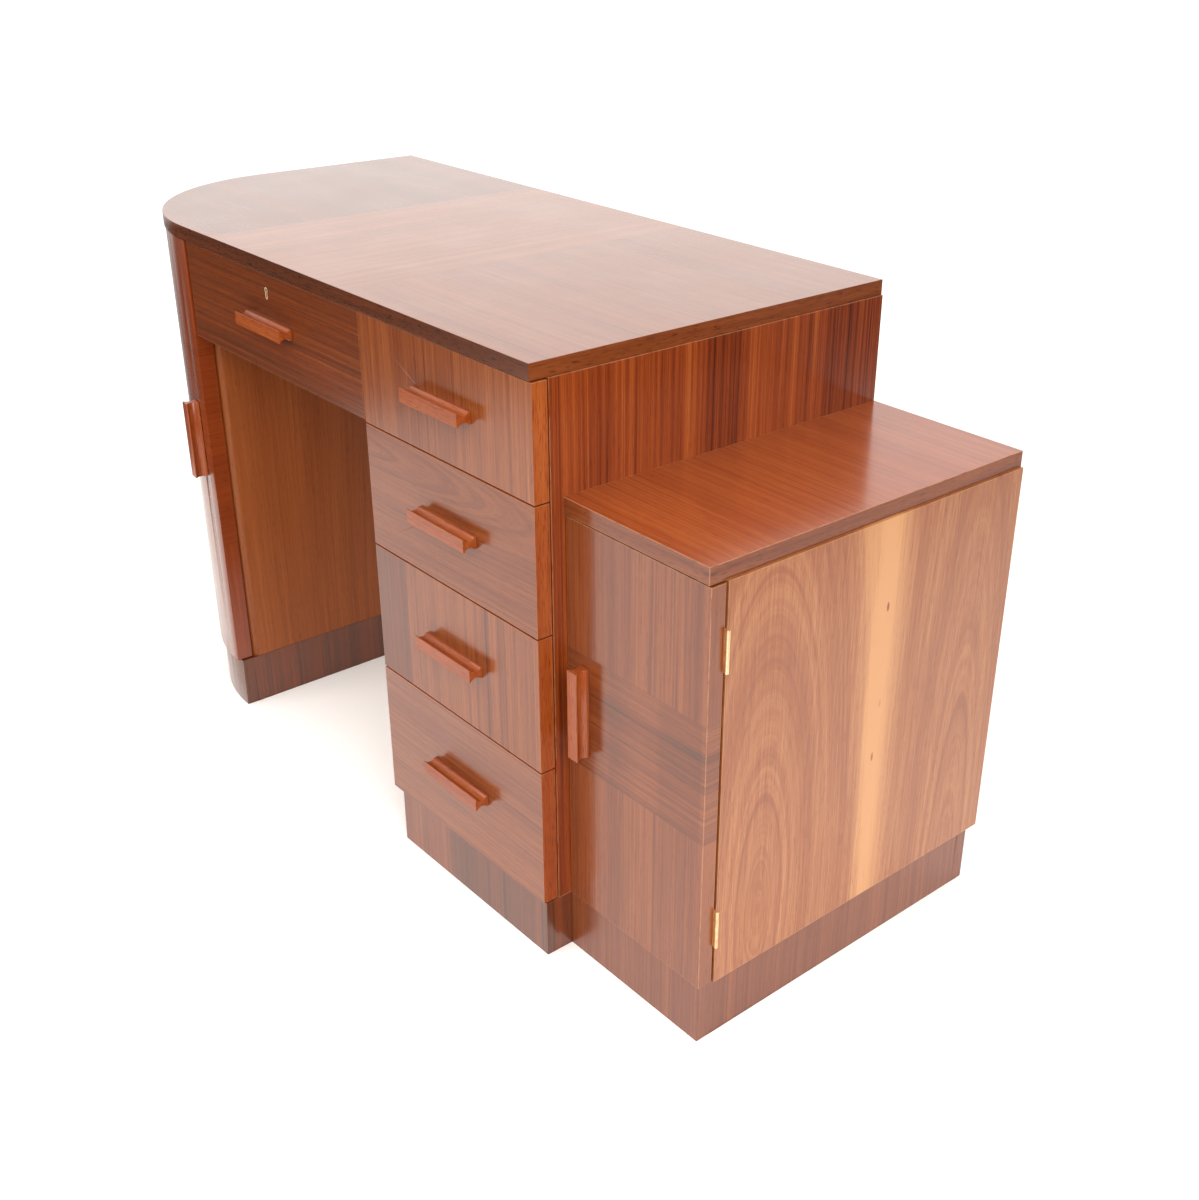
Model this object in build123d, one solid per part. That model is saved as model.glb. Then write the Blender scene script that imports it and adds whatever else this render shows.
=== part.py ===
from build123d import *
import math
import os

# A writing desk in walnut veneer: a main top with a rounded left-hand end stands on a pedestal of four
# drawers and a cupboard with a curved door. A kneehole with one drawer above it lies between them, and
# a lower, narrower cabinet with its own top stands against the pedestal's right-hand side.
#
# Lengths are millimetres. X runs to the right along the front, Y runs back, Z runs up. The desk is laid
# out from a working origin on the floor, under the right-hand front corner of the main top, and is moved
# at the end so that the origin lies on the floor under the middle of the whole desk.

# ---- Driving dimensions -------------------------------------------------------------------------

DESK_HEIGHT = 760.0
DESK_DEPTH = 540.0
MAIN_TOP_LENGTH = 1056.0
MAIN_TOP_THICKNESS = 19.0
END_RADIUS = 265.0

LOW_TOP_HEIGHT = 605.5
LOW_TOP_THICKNESS = 20.0
LOW_TOP_LENGTH = 230.0
LOW_SETBACK = 40.0

PLINTH_HEIGHT = 79.0
PLINTH_BOARD = 18.0
PLINTH_BACK = 525.0
PEDESTAL_WIDTH = 335.0
PEDESTAL_PLINTH_RECESS = 16.0
PLINTH_SETBACK = 3.5
CURVED_PLINTH_SETBACK = 5.5

PANEL = 20.0
KNEEHOLE_CORNER_RADIUS = 9.0
BOARD = 18.0
PLYWOOD = 6.0
END_PANEL_PROUD = 2.0
LOW_PANEL_PROUD = 3.5

FACE_SETBACK = 1.5
FRONT_THICKNESS = 20.0
CURVED_DOOR_THICKNESS = 24.0
FRONT_TO_CARCASE = 2.0
FRONT_LINES = (79.5, 268.0, 443.5, 603.5, 740.5)
FRONT_GAP = 2.0

KNEEHOLE_LEFT = -787.5
KNEEHOLE_DRAWER_LEFT = -783.0
KNEEHOLE_DRAWER_BOTTOM = 607.0

DUST_BOARD = 15.0
DRAWER_SIDE = 10.0
DRAWER_BOTTOM = 5.0
DRAWER_BACK_Y = 500.0
SLIDE_CLEARANCE = 0.3
SIDE_CLEARANCE = 1.0
HOUSING = 7.0
GROOVE = 4.0
GROOVE_HEIGHT = 7.0
DRAWER_HEADROOM = 8.0

HANDLE_LENGTH = 115.0
HANDLE_DEPTH = 19.0
HANDLE_WIDTH = 17.0
HANDLE_FOOT = 15.0
HANDLE_WAIST = 8.4
HANDLE_EDGE = 1.6
HANDLE_FACE_BREAK = 0.4
HANDLE_SCREW_SPACING = 70.0
HANDLE_SCREW_BITE = 12.0
HANDLE_SCREW_RADII = (1.75, 3.5)
SCREW_SLOT_WIDTH = 0.7
SCREW_SLOT_DEPTH = 0.6
DOOR_HANDLE_INSET = 30.0
LOW_HANDLE_HEIGHT = 352.0
CURVED_HANDLE_HEIGHT = 443.0

HINGE_LENGTH = 50.0
HINGE_LEAF_WIDTH = 22.0
HINGE_LEAF = 0.9
HINGE_LEAF_SHOULDER = 0.4
HINGE_STANDOFF = 0.2
HINGE_RADIUS = 2.25
HINGE_PIN_RADIUS = 1.2
HINGE_PIN_CLEARANCE = 0.05
HINGE_INSET = 76.0
KNUCKLES = 5
KNUCKLE_GAP = 0.2
HINGE_SCREW_LENGTH = 12.0
HINGE_SCREW_RADII = (1.25, 2.4)
HINGE_SCREW_PLACES = ((-17, 2), (0, -3), (17, 2))

SHELF_PIN_RADIUS = 2.5
SHELF_PIN_LENGTH = 16.0
SHELF_SIDE_GAP = 0.5
SHELF_BACK_GAP = 4.0
LOW_SHELF_HEIGHT = 330.0
CUPBOARD_SHELF_HEIGHT = 400.0

LOCK_X = -560.0
LOCK_WIDTH = 60.0
LOCK_HEIGHT = 36.0
LOCK_DEPTH = 9.0
BOLT_WIDTH = 20.0
BOLT_THICKNESS = 5.0
BOLT_TRAVEL = 6.0
BOLT_SLACK = 0.3
BOLT_CLEARANCE = 0.7
BOLT_INSET = 5.0
KEEP_HALF_LENGTH = 20.0
KEEP_HALF_WIDTH = 8.0
KEEP_THICKNESS = 1.2
KEYHOLE_HEIGHT = 718.5
KEYHOLE_RADIUS = 2.2
KEYHOLE_DROP = 9.5
KEYHOLE_TAIL = 0.55
KEY_PIN_RADIUS = 0.9
ESCUTCHEON_RIM = 1.3
ESCUTCHEON_PROUD = 0.2
ESCUTCHEON_DEPTH = 3.0

# ---- Levels and places worked out from them -----------------------------------------------------

MAIN_UNDERSIDE = DESK_HEIGHT - MAIN_TOP_THICKNESS
LOW_UNDERSIDE = LOW_TOP_HEIGHT - LOW_TOP_THICKNESS
FLOOR_TOP = PLINTH_HEIGHT + BOARD

FACE_Y = FACE_SETBACK
FRONT_BACK_Y = FACE_Y + FRONT_THICKNESS
CARCASE_Y = FRONT_BACK_Y + FRONT_TO_CARCASE
BACK_PANEL_Y = DESK_DEPTH - PLYWOOD

CURVE_X = END_RADIUS - MAIN_TOP_LENGTH
CURVE_Y = END_RADIUS
DOOR_RADIUS = END_RADIUS - FACE_SETBACK
DOOR_INNER_RADIUS = DOOR_RADIUS - CURVED_DOOR_THICKNESS
CUPBOARD_CURVE_RADIUS = DOOR_INNER_RADIUS - FRONT_TO_CARCASE
CUPBOARD_Y = CURVE_Y - CUPBOARD_CURVE_RADIUS
CURVED_DOOR_END_Y = CURVE_Y + CURVED_DOOR_THICKNESS
CUPBOARD_LEFT = CURVE_X - DOOR_RADIUS
CUPBOARD_INNER_X = KNEEHOLE_LEFT - PANEL
CUPBOARD_OUTER_X = CUPBOARD_LEFT + PANEL
CUPBOARD_OUTER_Y = CURVED_DOOR_END_Y + FRONT_TO_CARCASE

PEDESTAL_LEFT = -PEDESTAL_WIDTH
PEDESTAL_RIGHT = END_PANEL_PROUD
PEDESTAL_INNER_X = PEDESTAL_LEFT + BOARD
PEDESTAL_OUTER_X = PEDESTAL_RIGHT - PANEL

LOW_LEFT = PEDESTAL_RIGHT
LOW_TOP_RIGHT = LOW_LEFT + LOW_TOP_LENGTH
LOW_RIGHT = LOW_TOP_RIGHT + LOW_PANEL_PROUD
LOW_INNER_X = LOW_RIGHT - PANEL
LOW_FACE_Y = LOW_SETBACK + FACE_SETBACK
LOW_DOOR_BACK_Y = LOW_FACE_Y + FRONT_THICKNESS
LOW_CARCASE_Y = LOW_DOOR_BACK_Y + FRONT_TO_CARCASE
LOW_DOOR_LEFT = LOW_LEFT + 2.0
LOW_DOOR_RIGHT = LOW_RIGHT - FACE_SETBACK

DOOR_BOTTOM = FRONT_LINES[0] + FRONT_GAP / 2
CURVED_DOOR_TOP = FRONT_LINES[-1] - FRONT_GAP / 2
LOW_DOOR_TOP = LOW_UNDERSIDE - FRONT_GAP

LOW_HINGE_AXIS = (LOW_RIGHT + HINGE_RADIUS + HINGE_STANDOFF, LOW_DOOR_BACK_Y + FRONT_TO_CARCASE / 2)
CURVED_HINGE_AXIS = (
    CUPBOARD_LEFT - HINGE_RADIUS - HINGE_STANDOFF,
    CURVED_DOOR_END_Y + FRONT_TO_CARCASE / 2,
)
LOW_HINGE_HEIGHTS = (DOOR_BOTTOM + HINGE_INSET, LOW_DOOR_TOP - HINGE_INSET)
CURVED_HINGE_HEIGHTS = (DOOR_BOTTOM + HINGE_INSET, CURVED_DOOR_TOP - HINGE_INSET)

# The whole desk reaches from the left-hand hinges to the right-hand ones, and from the drawer handles
# to the back, so this is the middle of its outline on the floor.
OUTLINE_LEFT = CURVED_HINGE_AXIS[0] - HINGE_RADIUS
OUTLINE_RIGHT = LOW_HINGE_AXIS[0] + HINGE_RADIUS
OUTLINE_FRONT = FACE_Y - HANDLE_DEPTH
ORIGIN_X = (OUTLINE_LEFT + OUTLINE_RIGHT) / 2
ORIGIN_Y = (OUTLINE_FRONT + DESK_DEPTH) / 2


# ---- Shapes used more than once -----------------------------------------------------------------

def block(x0, x1, y0, y1, z0, z1):
    """A square-edged board between two opposite corners."""
    middle = Pos((x0 + x1) / 2, (y0 + y1) / 2, (z0 + z1) / 2)
    return middle * Box(x1 - x0, y1 - y0, z1 - z0)


def rounded_block(radius, right, back, bottom, top):
    """A board whose front left corner is a quarter circle about the curve's centre."""
    front = CURVE_Y - radius
    left = CURVE_X - radius
    diagonal = radius * math.sqrt(0.5)
    corner = ThreePointArc(
        (CURVE_X, front), (CURVE_X - diagonal, CURVE_Y - diagonal), (left, CURVE_Y)
    )
    corners = [(left, CURVE_Y), (left, back), (right, back), (right, front)]
    if right > CURVE_X:
        corners.append((CURVE_X, front))
    outline = make_face(corner + Polyline(*corners))
    return Pos(0, 0, bottom) * extrude(outline, top - bottom, dir=(0, 0, 1))


def plinth_boards(left, right, front, back):
    """Four boards on edge: the front and back run full width, and the sides fit between them."""
    inner_front = front + PLINTH_BOARD
    inner_back = back - PLINTH_BOARD
    return [
        block(left, right, front, inner_front, 0, PLINTH_HEIGHT),
        block(left, right, inner_back, back, 0, PLINTH_HEIGHT),
        block(left, left + PLINTH_BOARD, inner_front, inner_back, 0, PLINTH_HEIGHT),
        block(right - PLINTH_BOARD, right, inner_front, inner_back, 0, PLINTH_HEIGHT),
    ]


def handle_bar():
    """A wooden bar handle along X, with its foot on the XZ plane and its face towards -Y.

    Its section is a spool: a wide face, a hollow cove above and below, and a foot.
    """
    half_face = HANDLE_WIDTH / 2
    half_foot = HANDLE_FOOT / 2
    half_waist = HANDLE_WAIST / 2
    foot_edge = 2 * HANDLE_EDGE
    face_edge = HANDLE_DEPTH - HANDLE_EDGE
    waist = (foot_edge + face_edge) / 2
    upper_cove = ThreePointArc((-foot_edge, half_foot), (-waist, half_waist), (-face_edge, half_face))
    lower_cove = ThreePointArc((-face_edge, -half_face), (-waist, -half_waist), (-foot_edge, -half_foot))
    face = Polyline(
        (-face_edge, half_face),
        (-HANDLE_DEPTH, half_face - HANDLE_FACE_BREAK),
        (-HANDLE_DEPTH, -half_face + HANDLE_FACE_BREAK),
        (-face_edge, -half_face),
    )
    foot = Polyline(
        (-foot_edge, -half_foot), (0, -half_foot), (0, half_foot), (-foot_edge, half_foot)
    )
    section = Plane.YZ * make_face(upper_cove + face + lower_cove + foot)
    return Pos(-HANDLE_LENGTH / 2, 0, 0) * extrude(section, HANDLE_LENGTH, dir=(1, 0, 0))


def screw(length, shank_radius, head_radius, slotted=True):
    """A countersunk wood screw that points down, with the top of its head at the origin."""
    head_depth = head_radius - shank_radius
    point = 2 * shank_radius
    profile = Polyline(
        (0, 0),
        (head_radius, 0),
        (shank_radius, -head_depth),
        (shank_radius, point - length),
        (0, -length),
        close=True,
    )
    body = revolve(Plane.XZ * make_face(profile), Axis.Z)
    if slotted:
        half_slot = SCREW_SLOT_WIDTH / 2
        body -= block(-head_radius, head_radius, -half_slot, half_slot, -SCREW_SLOT_DEPTH, 1)
    return body


def handle_screws(thickness, slotted=True):
    """Two screws through a front of this thickness into the back of a handle along X."""
    length = thickness + HANDLE_SCREW_BITE
    one = Pos(0, thickness, 0) * Rot(X=-90) * screw(length, *HANDLE_SCREW_RADII, slotted)
    half = HANDLE_SCREW_SPACING / 2
    return [Pos(-half, 0, 0) * one, Pos(half, 0, 0) * one]


def move_all(place, solids):
    """The same solids, each moved by one location."""
    return [place * solid for solid in solids]


def cut_all(solids, cutters):
    """Each solid with every cutter taken out of it."""
    result = []
    for solid in solids:
        for cutter in cutters:
            solid = solid - cutter
        result.append(solid)
    return result


nodes = {}


def keep(name, *solids):
    """Store a node made of one or more separate solids."""
    nodes[name] = list(solids)


# ---- Tops ---------------------------------------------------------------------------------------

BOLT_Y = FRONT_BACK_Y - LOCK_DEPTH + BOLT_INSET


def about_bolt(half_length, half_width, bottom, top):
    """A block about the upright line that the lock's bolt moves on."""
    return block(
        LOCK_X - half_length, LOCK_X + half_length, BOLT_Y - half_width, BOLT_Y + half_width, bottom, top
    )


keep_plate = about_bolt(
    KEEP_HALF_LENGTH, KEEP_HALF_WIDTH, MAIN_UNDERSIDE, MAIN_UNDERSIDE + KEEP_THICKNESS
)
keep_mortise = about_bolt(
    BOLT_WIDTH / 2 + BOLT_CLEARANCE,
    BOLT_THICKNESS / 2 + BOLT_CLEARANCE,
    MAIN_UNDERSIDE,
    MAIN_UNDERSIDE + BOLT_TRAVEL + 2,
)
main_top = rounded_block(END_RADIUS, 0, DESK_DEPTH, MAIN_UNDERSIDE, DESK_HEIGHT)
keep("main_top", main_top - keep_plate - keep_mortise)
keep("lock_keep", keep_plate - keep_mortise)
keep(
    "low_top",
    block(LOW_LEFT, LOW_TOP_RIGHT, LOW_SETBACK, DESK_DEPTH, LOW_UNDERSIDE, LOW_TOP_HEIGHT),
)

# ---- Hinges -------------------------------------------------------------------------------------


DOOR, CARCASE = 0, 1
HINGE_LEAF_ROOT = HINGE_RADIUS + HINGE_LEAF_SHOULDER


def leaf_screws(side, direction, face, slotted):
    """The three screws of one hinge leaf, with their heads at this Y."""
    middle = HINGE_LEAF_ROOT + HINGE_LEAF_WIDTH / 2
    one = Rot(X=90 * direction) * screw(HINGE_SCREW_LENGTH, *HINGE_SCREW_RADII, slotted)
    return [Pos(side * (middle + offset), face, height) * one for height, offset in HINGE_SCREW_PLACES]


def hinge(side):
    """A butt hinge about the Z axis, with its leaves on the side that side (+1 or -1) gives along X.

    The door's leaf faces -Y and the carcase's leaf faces +Y. Returns the leaves, their screws and the
    screws' unslotted blanks, each as a door's set and a carcase's set, and then the pin.
    """
    half_length = HINGE_LENGTH / 2
    half_gap = FRONT_TO_CARCASE / 2
    step = HINGE_LENGTH / KNUCKLES
    half_knuckle = (step - KNUCKLE_GAP) / 2
    hole = Cylinder(HINGE_PIN_RADIUS + HINGE_PIN_CLEARANCE, HINGE_LENGTH + 2)
    low_x, high_x = sorted((side * HINGE_LEAF_ROOT, side * (HINGE_LEAF_ROOT + HINGE_LEAF_WIDTH)))
    tab_low, tab_high = sorted((0.0, side * HINGE_LEAF_ROOT))
    leaves = []
    screws = []
    blanks = []
    for direction, first in ((-1, 1), (1, 0)):
        inner = direction * (half_gap - HINGE_LEAF)
        low_y, high_y = sorted((direction * half_gap, inner))
        leaf = block(low_x, high_x, low_y, high_y, -half_length, half_length)
        for knuckle in range(first, KNUCKLES, 2):
            middle = -half_length + (knuckle + 0.5) * step
            leaf += Pos(0, 0, middle) * Cylinder(HINGE_RADIUS, 2 * half_knuckle)
            leaf += block(tab_low, tab_high, low_y, high_y, middle - half_knuckle, middle + half_knuckle)
        screws.append(leaf_screws(side, direction, inner, slotted=True))
        blanks.append(leaf_screws(side, direction, inner, slotted=False))
        leaves += cut_all([leaf - hole], blanks[-1])
    return leaves, screws, blanks, Cylinder(HINGE_PIN_RADIUS, HINGE_LENGTH)


def door_hinges(axis, heights, side):
    """One door's hinges. The pins are one list and the rest are pairs: the door's, then the carcase's."""
    leaves, screws, blanks, pin = hinge(side)
    parts = {"pins": [], "leaves": ([], []), "screws": ([], []), "blanks": ([], [])}
    for height in heights:
        place = Pos(axis[0], axis[1], height)
        parts["pins"].append(place * pin)
        for half in (DOOR, CARCASE):
            parts["leaves"][half].append(place * leaves[half])
            parts["screws"][half].extend(move_all(place, screws[half]))
            parts["blanks"][half].extend(move_all(place, blanks[half]))
    return parts


low_hinges = door_hinges(LOW_HINGE_AXIS, LOW_HINGE_HEIGHTS, -1)
curved_hinges = door_hinges(CURVED_HINGE_AXIS, CURVED_HINGE_HEIGHTS, 1)
keep("carcase_hinge_leaves", *low_hinges["leaves"][CARCASE], *curved_hinges["leaves"][CARCASE])
keep("hinge_pins", *low_hinges["pins"], *curved_hinges["pins"])
keep("carcase_hinge_screws", *low_hinges["screws"][CARCASE], *curved_hinges["screws"][CARCASE])

# ---- Shelves and their pins ---------------------------------------------------------------------


def shelf_pins(left_x, right_x, left_ys, right_ys, underside):
    """Pins that stand half in each side panel, with the shelf on top of them."""
    pin = Rot(Y=90) * Cylinder(SHELF_PIN_RADIUS, SHELF_PIN_LENGTH)
    height = underside - SHELF_PIN_RADIUS
    pins = [Pos(left_x, y, height) * pin for y in left_ys]
    pins += [Pos(right_x, y, height) * pin for y in right_ys]
    return pins


def cupboard_board(setback, side_gap, back, bottom, top):
    """A level board in the left cupboard that follows the curved door at this setback."""
    radius = CUPBOARD_CURVE_RADIUS - setback
    board = rounded_block(radius, CURVE_X, back, bottom, top)
    board -= block(CUPBOARD_INNER_X - side_gap, CURVE_X + 1, 0, DESK_DEPTH, bottom - 1, top + 1)
    behind = CUPBOARD_OUTER_Y + setback
    return board + block(CUPBOARD_OUTER_X + side_gap, CURVE_X - radius, behind, back, bottom, top)


low_pins = shelf_pins(LOW_LEFT, LOW_INNER_X, (110, 470), (110, 470), LOW_SHELF_HEIGHT)
cupboard_pins = shelf_pins(
    CUPBOARD_OUTER_X, CUPBOARD_INNER_X, (340, 480), (90, 480), CUPBOARD_SHELF_HEIGHT
)
low_shelf = block(
    LOW_LEFT + SHELF_SIDE_GAP,
    LOW_INNER_X - SHELF_SIDE_GAP,
    LOW_CARCASE_Y + BOARD,
    BACK_PANEL_Y - SHELF_BACK_GAP,
    LOW_SHELF_HEIGHT,
    LOW_SHELF_HEIGHT + BOARD,
)
cupboard_shelf = cupboard_board(
    BOARD,
    SHELF_SIDE_GAP,
    BACK_PANEL_Y - SHELF_BACK_GAP,
    CUPBOARD_SHELF_HEIGHT,
    CUPBOARD_SHELF_HEIGHT + BOARD,
)
keep("shelves", low_shelf, cupboard_shelf)
keep("shelf_pins", *low_pins, *cupboard_pins)

# ---- Upright panels -----------------------------------------------------------------------------

main_end_panel = block(
    PEDESTAL_OUTER_X, PEDESTAL_RIGHT, CARCASE_Y, DESK_DEPTH, PLINTH_HEIGHT, MAIN_UNDERSIDE
)
keep("main_end_panel", *cut_all([main_end_panel], low_pins))
keep(
    "pedestal_inner_panel",
    block(PEDESTAL_LEFT, PEDESTAL_INNER_X, CARCASE_Y, DESK_DEPTH, PLINTH_HEIGHT, MAIN_UNDERSIDE),
)
low_end_panel = block(
    LOW_INNER_X, LOW_RIGHT, LOW_CARCASE_Y, DESK_DEPTH, PLINTH_HEIGHT, LOW_UNDERSIDE
)
keep("low_end_panel", *cut_all([low_end_panel], low_pins + low_hinges["blanks"][CARCASE]))

cupboard_inner_panel = block(
    CUPBOARD_INNER_X, KNEEHOLE_LEFT, CUPBOARD_Y, DESK_DEPTH, PLINTH_HEIGHT, MAIN_UNDERSIDE
)
kneehole_corner = cupboard_inner_panel.edges().filter_by(Axis.Z).group_by(Axis.Y)[0].sort_by(Axis.X)[-1]
cupboard_inner_panel = fillet(kneehole_corner, KNEEHOLE_CORNER_RADIUS)
keep("cupboard_inner_panel", *cut_all([cupboard_inner_panel], cupboard_pins))
cupboard_outer_panel = block(
    CUPBOARD_LEFT, CUPBOARD_OUTER_X, CUPBOARD_OUTER_Y, DESK_DEPTH, PLINTH_HEIGHT, MAIN_UNDERSIDE
)
keep(
    "cupboard_outer_panel",
    *cut_all([cupboard_outer_panel], cupboard_pins + curved_hinges["blanks"][CARCASE]),
)
keep(
    "back_panels",
    block(CUPBOARD_OUTER_X, CUPBOARD_INNER_X, BACK_PANEL_Y, DESK_DEPTH, PLINTH_HEIGHT, MAIN_UNDERSIDE),
    block(PEDESTAL_INNER_X, PEDESTAL_OUTER_X, BACK_PANEL_Y, DESK_DEPTH, PLINTH_HEIGHT, MAIN_UNDERSIDE),
    block(LOW_LEFT, LOW_INNER_X, BACK_PANEL_Y, DESK_DEPTH, PLINTH_HEIGHT, LOW_UNDERSIDE),
)
APRON_Y = DESK_DEPTH - BOARD
keep(
    "kneehole_apron",
    block(
        KNEEHOLE_LEFT,
        PEDESTAL_LEFT,
        APRON_Y,
        DESK_DEPTH,
        KNEEHOLE_DRAWER_BOTTOM,
        MAIN_UNDERSIDE,
    ),
)

# ---- Floors, dust boards, rails and runners -----------------------------------------------------

keep(
    "carcase_floors",
    block(PEDESTAL_INNER_X, PEDESTAL_OUTER_X, CARCASE_Y, BACK_PANEL_Y, PLINTH_HEIGHT, FLOOR_TOP),
    block(LOW_LEFT, LOW_INNER_X, LOW_CARCASE_Y, BACK_PANEL_Y, PLINTH_HEIGHT, FLOOR_TOP),
)
keep("cupboard_floor", cupboard_board(0, 0, BACK_PANEL_Y, PLINTH_HEIGHT, FLOOR_TOP))
half_dust_board = DUST_BOARD / 2
keep(
    "dust_boards",
    *[
        block(
            PEDESTAL_INNER_X,
            PEDESTAL_OUTER_X,
            CARCASE_Y,
            BACK_PANEL_Y,
            line - half_dust_board,
            line + half_dust_board,
        )
        for line in FRONT_LINES[1:-1]
    ],
)

RAIL_WIDTH = 60.0
RAIL_UNDERSIDE = MAIN_UNDERSIDE - BOARD


def top_rail(left, right, front):
    """A flat rail under the main top, which screws down to it."""
    return block(left, right, front, front + RAIL_WIDTH, RAIL_UNDERSIDE, MAIN_UNDERSIDE)


keep(
    "top_rails",
    top_rail(PEDESTAL_INNER_X, PEDESTAL_OUTER_X, CARCASE_Y),
    top_rail(PEDESTAL_INNER_X, PEDESTAL_OUTER_X, BACK_PANEL_Y - RAIL_WIDTH),
    top_rail(KNEEHOLE_LEFT, PEDESTAL_LEFT, CARCASE_Y + PANEL),
    cupboard_board(0, 0, BACK_PANEL_Y, RAIL_UNDERSIDE, MAIN_UNDERSIDE),
)

RUNNER_WIDTH = 20.0
RUNNER_UNDERSIDE = KNEEHOLE_DRAWER_BOTTOM + 2.0
RUNNER_TOP = RUNNER_UNDERSIDE + DUST_BOARD
KNEEHOLE_BOX_LEFT = KNEEHOLE_DRAWER_LEFT + SIDE_CLEARANCE
keep(
    "drawer_runners",
    block(
        KNEEHOLE_LEFT,
        KNEEHOLE_LEFT + RUNNER_WIDTH,
        CARCASE_Y + PANEL,
        APRON_Y,
        RUNNER_UNDERSIDE,
        RUNNER_TOP,
    ),
    block(
        KNEEHOLE_LEFT,
        KNEEHOLE_BOX_LEFT - SIDE_CLEARANCE,
        CARCASE_Y + PANEL,
        APRON_Y,
        RUNNER_TOP,
        RUNNER_TOP + RUNNER_WIDTH,
    ),
    block(
        PEDESTAL_LEFT - RUNNER_WIDTH,
        PEDESTAL_LEFT,
        CARCASE_Y,
        APRON_Y,
        RUNNER_UNDERSIDE,
        RUNNER_TOP,
    ),
)

# ---- Plinths ------------------------------------------------------------------------------------

pedestal_plinth_left = PEDESTAL_LEFT + PEDESTAL_PLINTH_RECESS
keep(
    "pedestal_plinth",
    *plinth_boards(pedestal_plinth_left, PEDESTAL_RIGHT, FACE_Y + PLINTH_SETBACK, PLINTH_BACK),
)
keep(
    "low_plinth",
    *plinth_boards(LOW_LEFT, LOW_TOP_RIGHT, LOW_FACE_Y + PLINTH_SETBACK / 2, PLINTH_BACK),
)
curved_plinth_radius = DOOR_RADIUS - CURVED_PLINTH_SETBACK
curved_inner_radius = curved_plinth_radius - PLINTH_BOARD
plinth_inner_back = PLINTH_BACK - PLINTH_BOARD
bent_board = rounded_block(
    curved_plinth_radius, KNEEHOLE_LEFT, plinth_inner_back, 0, PLINTH_HEIGHT
) - rounded_block(curved_inner_radius, KNEEHOLE_LEFT, plinth_inner_back, 0, PLINTH_HEIGHT)
keep(
    "cupboard_plinth",
    bent_board,
    block(
        CUPBOARD_INNER_X,
        KNEEHOLE_LEFT,
        CURVE_Y - curved_inner_radius,
        plinth_inner_back,
        0,
        PLINTH_HEIGHT,
    ),
    block(
        CURVE_X - curved_plinth_radius,
        KNEEHOLE_LEFT,
        plinth_inner_back,
        PLINTH_BACK,
        0,
        PLINTH_HEIGHT,
    ),
)

# ---- Drawers ------------------------------------------------------------------------------------


def make_drawer(name, front_span, box_span, front_levels, box_levels, pockets=()):
    """One drawer: its front, its sides and back, its bottom, its handle and the handle's screws.

    Each span is a pair of X values and each pair of levels is a pair of Z values. Pockets are cut out
    of the front.
    """
    left, right = box_span
    box_bottom, box_top = box_levels
    bottom_level = box_bottom + GROOVE_HEIGHT
    side_y = FRONT_BACK_Y - HOUSING
    sides = [
        block(left, left + DRAWER_SIDE, side_y, DRAWER_BACK_Y, box_bottom, box_top),
        block(right - DRAWER_SIDE, right, side_y, DRAWER_BACK_Y, box_bottom, box_top),
    ]
    inner_left = left + DRAWER_SIDE
    inner_right = right - DRAWER_SIDE
    back_y = DRAWER_BACK_Y - DRAWER_SIDE
    back = block(
        inner_left, inner_right, back_y, DRAWER_BACK_Y, bottom_level + DRAWER_BOTTOM, box_top - GROOVE
    )
    bottom = block(
        inner_left - GROOVE,
        inner_right + GROOVE,
        FRONT_BACK_Y - GROOVE,
        DRAWER_BACK_Y,
        bottom_level,
        bottom_level + DRAWER_BOTTOM,
    )
    face = block(front_span[0], front_span[1], FACE_Y, FRONT_BACK_Y, front_levels[0], front_levels[1])
    handle_place = Pos(sum(front_span) / 2, FACE_Y, sum(front_levels) / 2)
    screws = move_all(handle_place, handle_screws(FRONT_THICKNESS))
    blanks = move_all(handle_place, handle_screws(FRONT_THICKNESS, slotted=False))
    cutters = [*sides, bottom, *blanks, *pockets]
    keep(name + "_front", *cut_all([face], cutters))
    keep(name + "_box", *cut_all(sides, [bottom]), back)
    keep(name + "_bottom", bottom)
    keep(name + "_handle", *cut_all([handle_place * handle_bar()], blanks))
    keep(name + "_handle_screws", *screws)


PEDESTAL_DRAWERS = ("bottom_drawer", "third_drawer", "second_drawer", "upper_drawer")
pedestal_box = (PEDESTAL_INNER_X + SIDE_CLEARANCE, PEDESTAL_OUTER_X - SIDE_CLEARANCE)
for number, drawer_name in enumerate(PEDESTAL_DRAWERS):
    lower_line = FRONT_LINES[number]
    upper_line = FRONT_LINES[number + 1]
    cell_floor = FLOOR_TOP if number == 0 else lower_line + half_dust_board
    cell_ceiling = min(upper_line - half_dust_board, RAIL_UNDERSIDE)
    make_drawer(
        drawer_name,
        (PEDESTAL_LEFT, PEDESTAL_RIGHT),
        pedestal_box,
        (lower_line + FRONT_GAP / 2, upper_line - FRONT_GAP / 2),
        (cell_floor + SLIDE_CLEARANCE, cell_ceiling - DRAWER_HEADROOM),
    )

# ---- Lock of the kneehole drawer ----------------------------------------------------------------

FRONT_TOP = FRONT_LINES[-1] - FRONT_GAP / 2


def keyhole(margin, front, back):
    """A keyhole-shaped prism along Y: a round eye with a narrower tail that hangs below it."""
    eye_radius = KEYHOLE_RADIUS + margin
    tail_radius = KEYHOLE_TAIL * KEYHOLE_RADIUS + margin
    depth = back - front
    turn = Rot(X=90)
    eye = Pos(LOCK_X, (front + back) / 2, KEYHOLE_HEIGHT) * turn * Cylinder(eye_radius, depth)
    tail_end = KEYHOLE_HEIGHT - KEYHOLE_DROP
    tail = block(LOCK_X - tail_radius, LOCK_X + tail_radius, front, back, tail_end, KEYHOLE_HEIGHT)
    tip = Pos(LOCK_X, (front + back) / 2, tail_end) * turn * Cylinder(tail_radius, depth)
    return eye + tail + tip


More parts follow.
